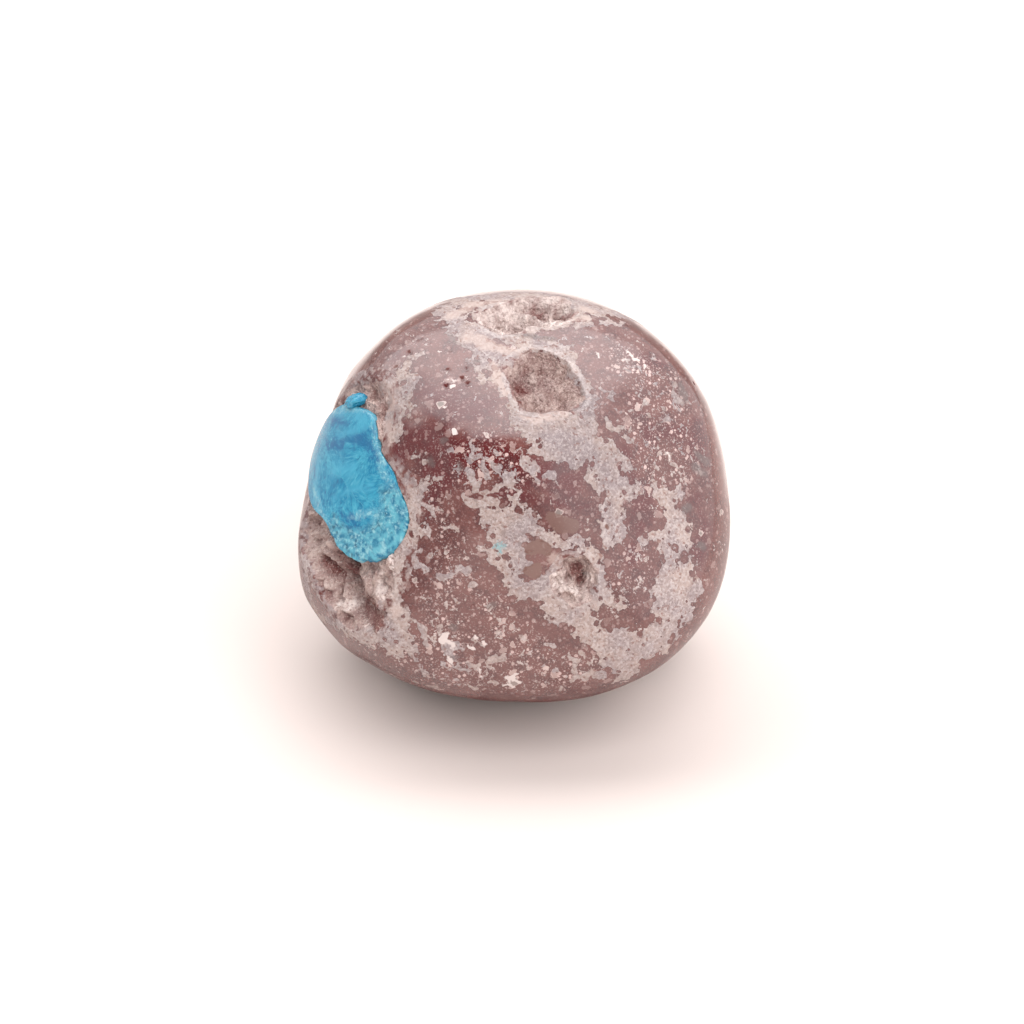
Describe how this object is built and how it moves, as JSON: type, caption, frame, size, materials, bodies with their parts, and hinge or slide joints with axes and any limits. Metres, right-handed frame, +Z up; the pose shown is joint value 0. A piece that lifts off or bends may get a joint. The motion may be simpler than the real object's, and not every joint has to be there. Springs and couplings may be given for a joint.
{
  "type": "cavansite specimen",
  "caption": "Tumbled basalt stone with a ball of blue cavansite in a crystal-lined hollow, resting on a small flat.",
  "frame": {"origin": "centre of the bounding box in X and Y, on the resting face", "axes": "+X along the stone's longest extent, +Y away from the side that shows the cavansite, +Z up from the resting face"},
  "size_m": [0.0318, 0.0314, 0.0312],
  "materials": {
    "tumbled_basalt": "tumbled to a soft polish, red-brown with grey zeolite patches",
    "cavansite_crystal": "polished where worn, rough blades along its lower edge",
    "zeolite_crystal_crust": "rough, pink-brown crystals with a polished pale rim"
  },
  "bodies": {
    "root": {"basalt_stone": "tumbled_basalt", "cavansite_ball": "cavansite_crystal", "side_zeolite_crust": "zeolite_crystal_crust", "upper_zeolite_crust": "zeolite_crystal_crust", "crown_zeolite_crust": "zeolite_crystal_crust", "front_zeolite_crust": "zeolite_crystal_crust"}
  },
  "joints": []
}
